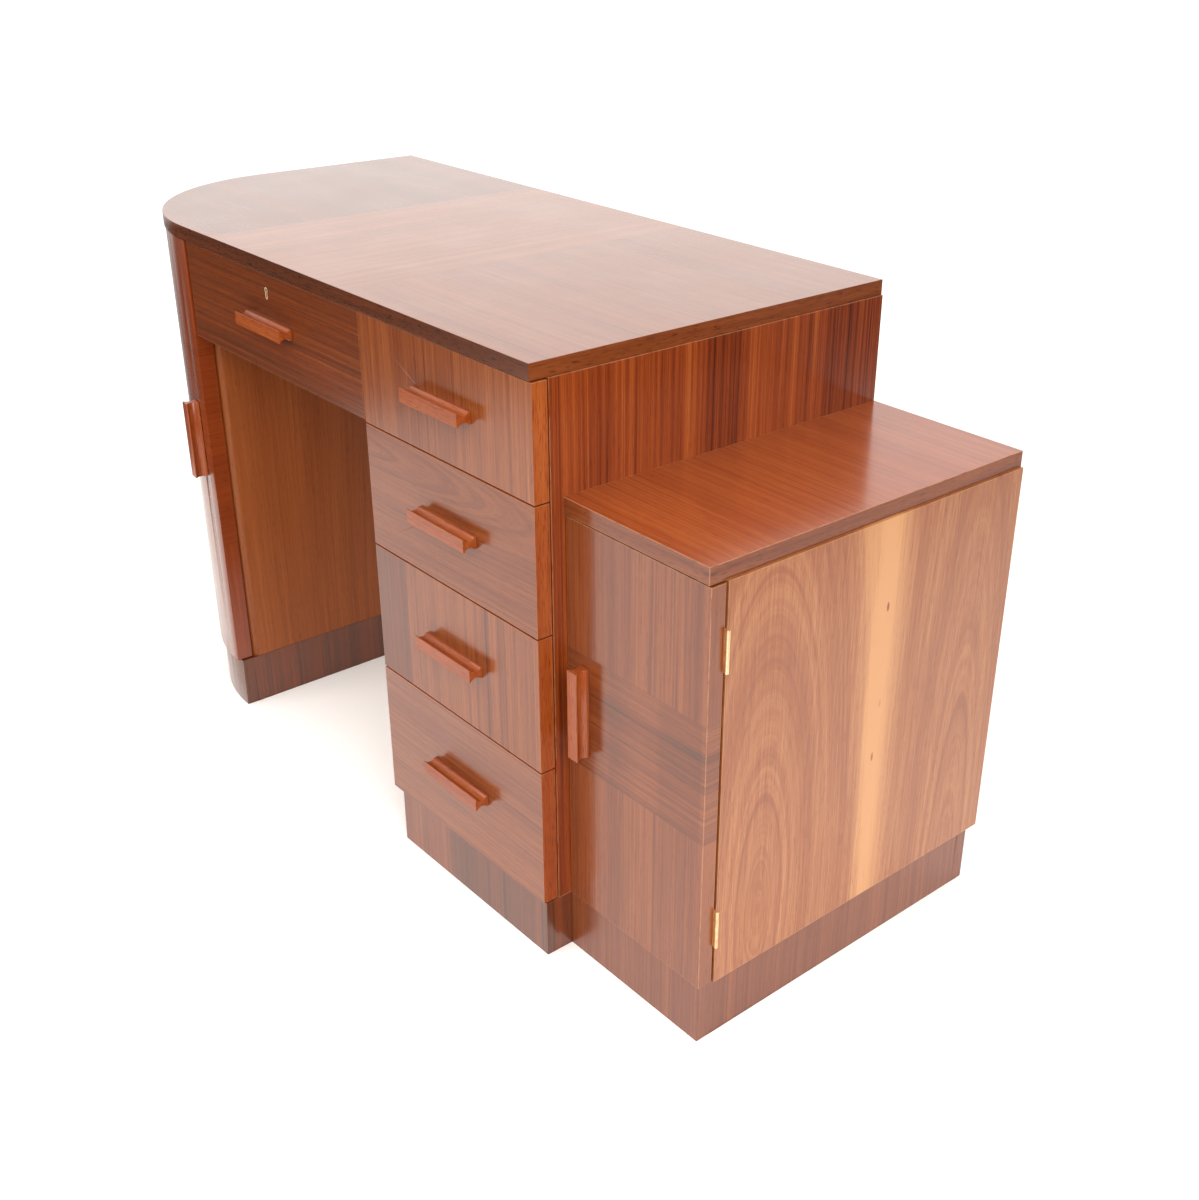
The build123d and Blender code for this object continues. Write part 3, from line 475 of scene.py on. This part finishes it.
def sapwood_stripe(s, value):
    """The pale sapwood stripe down the low cabinet's end, with small knots in it."""
    wave = s.noise(s.join(0.0, 0.0, s.z), (1.0, 1.0, 3.0))
    fray = s.noise(s.position, (1.0, 170.0, 2.0), 2.0)
    place = s.math("SUBTRACT", s.y, LOW_PANEL_LOW.y)
    place = s.swing(wave, SAPWOOD_WAVING, place)
    place = s.swing(fray, SAPWOOD_FRAYING, place)
    from_near = s.math("SUBTRACT", place, s.math("MULTIPLY_ADD", s.z, SAPWOOD_SLANT, SAPWOOD_NEAR))
    rise = s.remap(from_near, *SAPWOOD_NEAR_FADE)
    stripe = s.math("MULTIPLY", rise, s.remap(place, *SAPWOOD_FAR, 1.0, 0.0))
    core_rise = s.remap(place, *SAPWOOD_CORE_RISE)
    core = s.math("MULTIPLY", core_rise, s.remap(place, *SAPWOOD_CORE_FALL, 1.0, 0.0))

    # The stripe evens out the figure, and is lighter than the rest, most of all along its core.
    to_tone = s.math("MULTIPLY_ADD", value, -1.0, SAPWOOD_TONE)
    value = s.math("MULTIPLY_ADD", s.math("MULTIPLY", stripe, SAPWOOD_CALM), to_tone, value)
    value = s.math("MULTIPLY_ADD", stripe, SAPWOOD_LIGHTENING, value)
    value = s.math("MULTIPLY_ADD", core, SAPWOOD_CORE_LIGHTENING, value)
    for knot_place, knot_height, darkness in KNOTS:
        side = s.math("MULTIPLY", s.math("SUBTRACT", s.y, LOW_PANEL_LOW.y + knot_place), KNOT_SIDE_SCALE)
        rise = s.math("MULTIPLY", s.math("SUBTRACT", s.z, knot_height), KNOT_RISE_SCALE)
        spread = s.math("ADD", s.math("MULTIPLY", side, side), s.math("MULTIPLY", rise, rise))
        value = s.math("MULTIPLY_ADD", s.remap(spread, 0.0, 1.0, 1.0, 0.0), -darkness, value)
    return value


# Where the joints between sheets are: along X on the main top, and up the two doors.
TOP_JOINTS = -0.2985, 0.0475
LOW_DOOR_JOINTS = 0.277, 0.424
CURVED_DOOR_JOINTS = 0.279, 0.607
# The width of the solid strip down the main end panel's front edge.
FRONT_STRIP = 13 * MM
# The pedestal's front, from the kneehole side to the outer end.
PEDESTAL_SPAN = (0.0745, 0.4115)
PEDESTAL_PLINTH_SPAN = (0.0905, 0.4115)

END_PANEL_LEAVES = (
    (0.0, 0.0), (0.30, 0.0), (0.36, 0.02), (0.375, 0.24), (0.40, 0.10), (0.41, -0.10), (0.53, -0.08),
    (0.60, 0.08), (0.78, 0.04), (0.84, -0.10), (1.0, -0.14),
)
UPPER_DRAWER_LEAVES = (
    (0.0, 0.01), (0.20, 0.02), (0.24, -0.10), (0.30, 0.0), (0.45, -0.04), (0.60, 0.04), (1.0, 0.04),
)
THIRD_DRAWER_LEAVES = (
    (0.0, -0.14), (0.13, -0.18), (0.20, -0.16), (0.205, 0.08), (0.26, 0.02), (0.36, 0.04), (0.62, 0.06),
    (0.69, 0.0), (0.70, -0.16), (0.715, 0.02), (0.76, 0.14), (0.775, -0.10), (0.80, 0.06), (1.0, 0.05),
)
LOW_DOOR_LEAVES = (
    (0.0, 0.02), (0.30, 0.02), (0.33, -0.04), (0.38, -0.02), (0.48, 0.05), (0.54, 0.08), (0.66, 0.07),
    (0.70, 0.01), (0.96, 0.0), (0.98, 0.08), (1.0, 0.08),
)


def board(name):
    return tuple(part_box(name))


VENEERS = {
    "main_top": dict(
        field=("XY", 26.3, -0.02),
        more_fields=((TOP_JOINTS[0], "YX", 2.0, 0.15), (TOP_JOINTS[1], "XY", 3.0, 0.10)), field_axis="X",
        broad_figure=0.32, fine_figure=0.32,
        # Painted light: the rim's sides that look along X are lightened.
        lipping="Z", lip_lie="RZ", lip_tone=-0.26, lip_palette=WALNUT, lip_painted_side_light=0.24, gloss=0.22),
    "low_top": dict(
        field=("XY", 4.0, 0.14), palette=RED_WALNUT, broad_figure=0.30, fine_figure=0.40,
        lipping="Z", lip_lie="RZ", lip_tone=-0.04, lip_palette=WALNUT,
        edge_box=board("low_top"), gloss=0.17, polish=0.85),
    "main_end_panel": dict(
        field=("ZY", 7.0, -0.02), more_fields=((PEDESTAL_LOW.y + FRONT_STRIP, "ZY", 5.0, 0.03),),
        field_axis="Y", palette=RED_WALNUT, broad_figure=0.42, fine_figure=0.95,
        leaves=END_PANEL_LEAVES, leaf_axis="Y", leaf_span=(PEDESTAL_LOW.y, PEDESTAL_HIGH.y),
        edge_box=board("main_end_panel"), polish=0.75),
    "pedestal_inner_panel": dict(field=("ZY", 6.0, 0.06)),
    "low_end_panel": dict(
        field=("ZY", 8.0, 0.28), wander=8.0, broad_figure=0.18, fine_figure=0.24,
        piths=((LOW_PANEL_LOW.y + 0.066, 0.003, 0.22, 0.15), (LOW_PANEL_LOW.y + 0.408, 0.004, 0.11, 0.0)),
        sapwood=sapwood_stripe, edge_box=board("low_end_panel"), gloss=0.24),
    "cupboard_inner_panel": dict(
        field=("ZY", 9.0, 0.18), wander=6.0, broad_figure=0.26, fine_figure=0.22,
        piths=((0.06, 0.01, 0.13, 0.05), (-0.30, 0.1, 0.0, 0.0)), gloss=0.35, polish=0.4),
    "cupboard_outer_panel": dict(field=("ZY", 10.0, 0.0)),
    "kneehole_apron": dict(field=("XZ", 11.0, 0.0), edge_box=board("kneehole_apron")),
    "pedestal_plinth": dict(
        field=("ZR", 12.0, -0.02), leaf_span=PEDESTAL_PLINTH_SPAN,
        leaves=((0.0, 0.10), (0.33, 0.08), (0.36, -0.08), (1.0, -0.08))),
    "low_plinth": dict(field=("ZR", 13.0, 0.04), gloss=0.26),
    "cupboard_plinth": dict(field=("ZR", 14.0, -0.10)),
    "kneehole_drawer_front": dict(
        field=("XZ", 15.0, -0.05), broad_figure=0.24, fine_figure=0.60, wander=5.0,
        lipping="Y", edge_box=board("kneehole_drawer_front"), wear=0.15, polish=0.65),
    "upper_drawer_front": dict(
        field=("ZX", 16.0, 0.12), broad_figure=0.22, fine_figure=0.60,
        leaves=UPPER_DRAWER_LEAVES, leaf_span=PEDESTAL_SPAN,
        lipping="Y", lip_tone=0.14, edge_box=board("upper_drawer_front"), wear=0.15, polish=0.85),
    "second_drawer_front": dict(
        field=("XZ", 17.0, 0.07), broad_figure=0.34, fine_figure=0.48, wander=7.0,
        piths=((0.575, 0.004, 0.10, 0.05), (0.30, 0.1, 0.0, 0.0)),
        lipping="Y", lip_tone=0.08, edge_box=board("second_drawer_front"), wear=0.15, polish=0.85),
    "third_drawer_front": dict(
        field=("ZX", 18.0, 0.09), broad_figure=0.20, fine_figure=0.55,
        leaves=THIRD_DRAWER_LEAVES, leaf_span=PEDESTAL_SPAN,
        lipping="Y", lip_tone=0.05, edge_box=board("third_drawer_front"), wear=0.15, polish=0.9),
    "bottom_drawer_front": dict(
        field=("XZ", 19.0, 0.10), broad_figure=0.20, fine_figure=0.45, wander=5.0,
        lipping="Y", edge_box=board("bottom_drawer_front"), wear=0.15),
    "low_door": dict(
        field=("ZX", 20.0, 0.06),
        more_fields=((LOW_DOOR_JOINTS[0], "XZ", 21.0, 0.0), (LOW_DOOR_JOINTS[1], "ZX", 22.0, 0.06)),
        broad_figure=0.26, fine_figure=0.54, edge_box=board("low_door"),
        leaves=LOW_DOOR_LEAVES, leaf_span=(LOW_DOOR_LOW.x, LOW_DOOR_HIGH.x)),
    "curved_door": dict(
        field=("ZR", 23.0, -0.02),
        more_fields=((CURVED_DOOR_JOINTS[0], "RZ", 24.0, -0.04), (CURVED_DOOR_JOINTS[1], "ZR", 25.0, -0.02)),
        palette=RED_WALNUT, broad_figure=0.16, fine_figure=0.30, gloss=0.18),
}


# ---- Dressing the CAD nodes ---------------------------------------------------------------------

VENEER_BEVEL = 0.5 * MM
BOX_BEVEL = 0.6 * MM
WELD_DISTANCE = 0.01 * MM
SHARP_ANGLE = math.radians(50)
HANDLE_TONE = 0.06
# Each timber's dark and light colours.
OAK = ((0.30, 0.165, 0.075), (0.46, 0.29, 0.15))
CARCASE_WOOD = ((0.22, 0.11, 0.05), (0.36, 0.20, 0.10))
PLYWOOD = ((0.33, 0.19, 0.09), (0.50, 0.33, 0.18))
BACK_PLYWOOD = ((0.24, 0.12, 0.055), (0.40, 0.23, 0.11))
BRASS = (0.92, 0.61, 0.35)
BRASS_METALLIC = 0.85
STEEL = (0.46, 0.43, 0.39)
DRAWERS = ("bottom_drawer", "third_drawer", "second_drawer", "upper_drawer", "kneehole_drawer")
DOORS = ("low_door", "curved_door")
CARCASE_BOARDS = ("shelves", "carcase_floors", "cupboard_floor", "dust_boards", "top_rails", "drawer_runners")
BRASS_PIECES = (
    "carcase_hinge_leaves", "hinge_pins", "carcase_hinge_screws", "low_door_fittings", "low_door_screws",
    "curved_door_fittings", "curved_door_screws", "shelf_pins", "lock_keep", "lock_case", "lock_bolt",
    "catch_bodies",
)


def soften(node, width):
    """Breaks a CAD node's sharp edges, with its own vertices left as they are."""
    weld = node.modifiers.new("weld", "WELD")
    weld.merge_threshold = WELD_DISTANCE
    bevel = node.modifiers.new("bevel", "BEVEL")
    bevel.width = width
    bevel.segments = 2
    bevel.limit_method = "ANGLE"
    bevel.angle_limit = SHARP_ANGLE
    bevel.use_clamp_overlap = True
    bevel.harden_normals = True


def dress(name, material, bevel=None):
    """Gives a CAD node its finish, and softens its edges where a bevel is given."""
    node = nodes[name]
    node.data.materials.clear()
    node.data.materials.append(material)
    if bevel:
        soften(node, bevel)


for name, look in VENEERS.items():
    dress(name, walnut(name, **look), VENEER_BEVEL)

handle_across = solid_walnut("handle_along_x", "XZ", HANDLE_TONE)
handle_upright = solid_walnut("handle_along_z", "ZX", HANDLE_TONE)
for drawer in DRAWERS:
    dress(drawer + "_handle", handle_across, VENEER_BEVEL)
for door in DOORS:
    dress(door + "_handle", handle_upright, VENEER_BEVEL)

drawer_timber = plain_timber("drawer_sides", "YZ", *OAK)
carcase_timber = plain_timber("carcase_boards", "XY", *CARCASE_WOOD, sheet=4.0)
plywood = plain_timber("plywood", "XY", *PLYWOOD, sheet=8.0)
back_ply = plain_timber("back_plywood", "ZX", *BACK_PLYWOOD, sheet=2.0)
for drawer in DRAWERS:
    dress(drawer + "_box", drawer_timber, BOX_BEVEL)
    dress(drawer + "_bottom", plywood)
for name in CARCASE_BOARDS:
    dress(name, carcase_timber, VENEER_BEVEL)
dress("back_panels", back_ply)

brass = worn_metal("brass", BRASS, BRASS_METALLIC)
for name in BRASS_PIECES:
    dress(name, brass)
dress("keyhole_escutcheon", escutcheon_brass())
steel = worn_metal("screw_steel", STEEL)
for drawer in DRAWERS:
    dress(drawer + "_handle_screws", steel)


# ---- Studio -------------------------------------------------------------------------------------

FLOOR_NEAR = Vector((-1.45, -1.65))
FLOOR_FAR = Vector((1.60, 2.10))
FLOOR_ROUNDING = 0.5
FLOOR_CORNERS = 96
FLOOR_PAINT = ((0.0, (0.965, 0.946, 0.918)), (1.0, (0.985, 0.966, 0.938)))
FLOOR_ROUGHNESS = 0.8

SOFTBOX_SIZE = (2.2, 2.2)
RIGHT_SOFTBOX_WATTS = 90
LEFT_SOFTBOX_WATTS = 38

UP = (0.0, 0.0, 1.0)
BEHIND = (-0.55, 0.84, 0.15)
# How squarely a direction faces up or back where each light begins, and where it is full.
CEILING_SPREAD = (-0.10, 0.35)
BACKDROP_FOOT = (-0.25, 0.05)
BACKDROP_SPREAD = (0.25, 0.70)
CEILING_STRENGTH = 1.05
BACKDROP_FOOT_STRENGTH = 0.45
BACKDROP_RISE_STRENGTH = 1.12
ROOM_STRENGTH = 0.05
ROOM_COLOUR = (1.0, 0.975, 0.94, 1.0)
SEEN_COLOUR = (1.0, 1.0, 1.0, 1.0)
SEEN_STRENGTH = 1.3

CAMERA_PLACE = (1.5647, -1.1092, 1.2133)
CAMERA_AZIMUTH = math.radians(48.35)
CAMERA_ELEVATION = math.radians(26.86)
CAMERA_ROLL = math.radians(0.90)
CAMERA_SENSOR = 36.0
CAMERA_LENS = 44.05
CAMERA_SHIFT = (-0.0485, 0.0037)


def make_floor():
    """A plain pale floor under the desk, with rounded corners. Past its edge the studio is as white."""
    middle = (FLOOR_NEAR + FLOOR_FAR) / 2
    reach = (FLOOR_FAR - FLOOR_NEAR) / 2 - Vector((FLOOR_ROUNDING, FLOOR_ROUNDING))
    rim = []
    for step in range(FLOOR_CORNERS):
        turn = 2 * math.pi * (step + 0.5) / FLOOR_CORNERS
        way = Vector((math.cos(turn), math.sin(turn)))
        side = Vector((math.copysign(reach.x, way.x), math.copysign(reach.y, way.y)))
        rim.append((*(middle + side + FLOOR_ROUNDING * way), 0.0))
    mesh = bpy.data.meshes.new("floor")
    mesh.from_pydata(rim, [], [tuple(range(FLOOR_CORNERS))])
    floor = bpy.data.objects.new("floor", mesh)
    bpy.context.scene.collection.objects.link(floor)
    s = Shader("floor_paint")
    unevenness = s.noise(s.position, 3.0, 2.0)
    mesh.materials.append(s.finish(s.ramp(unevenness, FLOOR_PAINT), FLOOR_ROUGHNESS))


def aimed(place, target):
    """A matrix at a place whose -Z axis points at the target."""
    turn = (target - place).to_track_quat("-Z", "Y")
    return Matrix.Translation(place) @ turn.to_matrix().to_4x4()


def make_softbox(name, place, target, power):
    """A large soft light at a place, facing a target."""
    data = bpy.data.lights.new(name, "AREA")
    data.shape = "RECTANGLE"
    data.size, data.size_y = SOFTBOX_SIZE
    data.energy = power
    light = bpy.data.objects.new(name, data)
    light.matrix_world = aimed(Vector(place), Vector(target))
    bpy.context.scene.collection.objects.link(light)


def make_world():
    """A white studio: a lit ceiling and a backdrop behind the desk, and a dim room past the floor in front.

    The camera itself sees plain white all round.
    """
    world = bpy.data.worlds.new("studio")
    bpy.context.scene.world = world
    world.use_nodes = True
    tree = world.node_tree
    tree.nodes.clear()

    def add(kind, inputs, **settings):
        made = tree.nodes.new(kind)
        for key, value in settings.items():
            setattr(made, key, value)
        for key, value in inputs.items():
            if isinstance(value, bpy.types.NodeSocket):
                tree.links.new(value, made.inputs[key])
            else:
                made.inputs[key].default_value = value
        return made.outputs

    def combined(operation, *values):
        return add("ShaderNodeMath", dict(enumerate(values)), operation=operation)[0]

    def towards(way, start, end):
        """From 0 to 1 as a direction turns to face this way."""
        ways = {0: direction, 1: Vector(way).normalized()}
        dot = add("ShaderNodeVectorMath", ways, operation="DOT_PRODUCT")["Value"]
        return add("ShaderNodeMapRange", {0: dot, 1: start, 2: end}, interpolation_type="SMOOTHSTEP")[0]

    direction = add("ShaderNodeTexCoord", {})["Generated"]
    ceiling = combined("MULTIPLY", towards(UP, *CEILING_SPREAD), CEILING_STRENGTH)
    upwards = towards(UP, *BACKDROP_FOOT)
    brightness = combined("MULTIPLY_ADD", upwards, BACKDROP_RISE_STRENGTH, BACKDROP_FOOT_STRENGTH)
    backdrop = combined("MULTIPLY", towards(BEHIND, *BACKDROP_SPREAD), brightness)
    strength = combined("ADD", combined("MAXIMUM", ceiling, backdrop), ROOM_STRENGTH)
    room = add("ShaderNodeBackground", {"Color": ROOM_COLOUR, "Strength": strength})[0]
    white = add("ShaderNodeBackground", {"Color": SEEN_COLOUR, "Strength": SEEN_STRENGTH})[0]
    seen = add("ShaderNodeLightPath", {})["Is Camera Ray"]
    mixed = add("ShaderNodeMixShader", {0: seen, 1: room, 2: white})[0]
    add("ShaderNodeOutputWorld", {"Surface": mixed})


def make_camera():
    """The camera stands to the right of the desk's front and looks down on it, turned a little."""
    level = Vector((math.sin(CAMERA_AZIMUTH), -math.cos(CAMERA_AZIMUTH), 0)) * math.cos(CAMERA_ELEVATION)
    backward = level + Vector((0, 0, math.sin(CAMERA_ELEVATION)))
    right = Vector((0, 0, 1)).cross(backward).normalized()
    up = backward.cross(right)
    turned_right = right * math.cos(CAMERA_ROLL) + up * math.sin(CAMERA_ROLL)
    turned_up = up * math.cos(CAMERA_ROLL) - right * math.sin(CAMERA_ROLL)
    data = bpy.data.cameras.new("camera")
    data.sensor_width = CAMERA_SENSOR
    data.lens = CAMERA_LENS
    data.shift_x, data.shift_y = CAMERA_SHIFT
    camera = bpy.data.objects.new("camera", data)
    axes = Matrix((turned_right, turned_up, backward)).transposed().to_4x4()
    camera.matrix_world = Matrix.Translation(CAMERA_PLACE) @ axes
    bpy.context.scene.collection.objects.link(camera)
    bpy.context.scene.camera = camera


make_floor()
make_world()
make_softbox("right_softbox", (2.6, -1.4, 2.0), (0.2, 0.0, 0.3), RIGHT_SOFTBOX_WATTS)
make_softbox("left_softbox", (-0.5, -2.5, 2.2), (0.2, 0.0, 0.2), LEFT_SOFTBOX_WATTS)
make_camera()
bpy.context.scene.view_settings.view_transform = "Standard"
